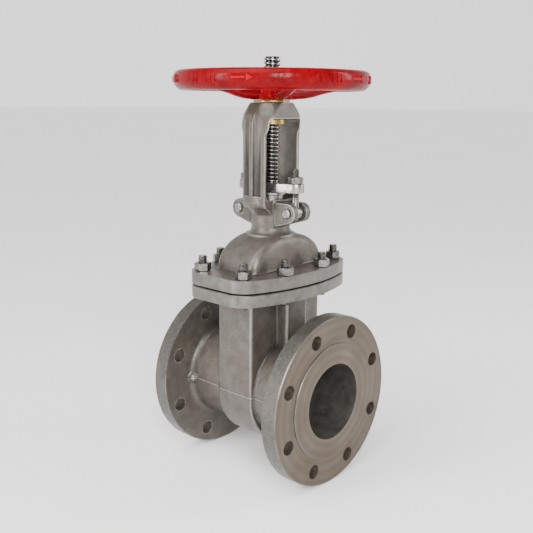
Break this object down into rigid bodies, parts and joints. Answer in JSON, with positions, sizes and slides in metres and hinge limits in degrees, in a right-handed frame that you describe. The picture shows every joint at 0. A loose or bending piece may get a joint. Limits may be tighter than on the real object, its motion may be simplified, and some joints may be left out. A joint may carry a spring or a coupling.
{
  "type": "gate valve",
  "caption": "Flanged wedge gate valve with a rising stem in an outside yoke, an oval bolted bonnet, a hinged-bolt gland and a round spoked handwheel",
  "frame": {"origin": "centre of the port, where the pipe's axis meets the stem's axis", "axes": "+X along the pipe towards the front flange, +Y across the body, +Z along the stem towards the handwheel"},
  "size_m": [0.257, 0.257, 0.5565],
  "materials": {
    "cast_stainless": "shot-blasted stainless casting, machined on the joint and flange faces",
    "gate_face": "ground stainless face, dull in the port",
    "stem_steel": "turned and threaded bright stainless",
    "bright_steel": "machined bright stainless",
    "fastener_steel": "plain stainless studs and nuts",
    "brass": "machined brass",
    "red_paint": "glossy red enamel over a rough iron casting",
    "graphite": "dark pressed graphite"
  },
  "bodies": {
    "valve": {"body": "cast_stainless", "seat_ring_front": "bright_steel", "seat_ring_back": "bright_steel", "gasket": "graphite", "bonnet": "cast_stainless", "backseat_bush": "bright_steel", "packing_ring_1": "graphite", "packing_ring_2": "graphite", "packing_ring_3": "graphite", "packing_ring_4": "graphite", "packing_ring_5": "graphite", "stud_1": "fastener_steel", "stud_2": "fastener_steel", "stud_3": "fastener_steel", "stud_4": "fastener_steel", "stud_5": "fastener_steel", "stud_6": "fastener_steel", "stud_7": "fastener_steel", "stud_8": "fastener_steel", "joint_nut_1": "fastener_steel", "joint_nut_2": "fastener_steel", "joint_nut_3": "fastener_steel", "joint_nut_4": "fastener_steel", "joint_nut_5": "fastener_steel", "joint_nut_6": "fastener_steel", "joint_nut_7": "fastener_steel", "joint_nut_8": "fastener_steel", "eyebolt_front": "fastener_steel", "eyebolt_back": "fastener_steel", "eyebolt_pin_front": "fastener_steel", "eyebolt_pin_back": "fastener_steel", "thrust_washer": "brass"},
    "stem_and_gate": {"stem": "stem_steel", "wedge": "gate_face"},
    "wheel_set": {"handwheel": "red_paint", "handwheel_nut": "fastener_steel", "wheel_key": "fastener_steel", "stem_nut": "brass"},
    "gland": {"gland_follower": "bright_steel", "gland_flange": "bright_steel"},
    "gland_nut_front": {"gland_nut_front": "fastener_steel"},
    "gland_nut_back": {"gland_nut_back": "fastener_steel"}
  },
  "joints": [
    {"name": "handwheel_turn", "type": "hinge", "parent": "valve", "child": "wheel_set", "pos_m": [0, 0, 0.411], "axis": [0, 0, 1], "range_deg": [0, 7560]},
    {"name": "stem_lift", "type": "slide", "parent": "valve", "child": "stem_and_gate", "axis": [0, 0, 1], "range_m": [0, 0.105]},
    {"name": "gland_slide", "type": "slide", "parent": "valve", "child": "gland", "axis": [0, 0, 1], "range_m": [-0.003, 0], "deforming": ["packing_ring_1", "packing_ring_2", "packing_ring_3", "packing_ring_4", "packing_ring_5"]},
    {"name": "gland_nut_front_turn", "type": "hinge", "parent": "gland", "child": "gland_nut_front", "pos_m": [0.043, 0, 0.2855], "axis": [0, 0, 1], "range_deg": [-720.05, 0]},
    {"name": "gland_nut_back_turn", "type": "hinge", "parent": "gland", "child": "gland_nut_back", "pos_m": [-0.043, 0, 0.2855], "axis": [0, 0, 1], "range_deg": [-720.05, 0]}
  ],
  "couplings": [
    {"joint": "stem_lift", "follows": "handwheel_turn", "m_per_rad": 0.00079577},
    {"joint": "gland_nut_front_turn", "follows": "gland_slide", "rad_per_m": 4188.8},
    {"joint": "gland_nut_back_turn", "follows": "gland_slide", "rad_per_m": 4188.8}
  ]
}
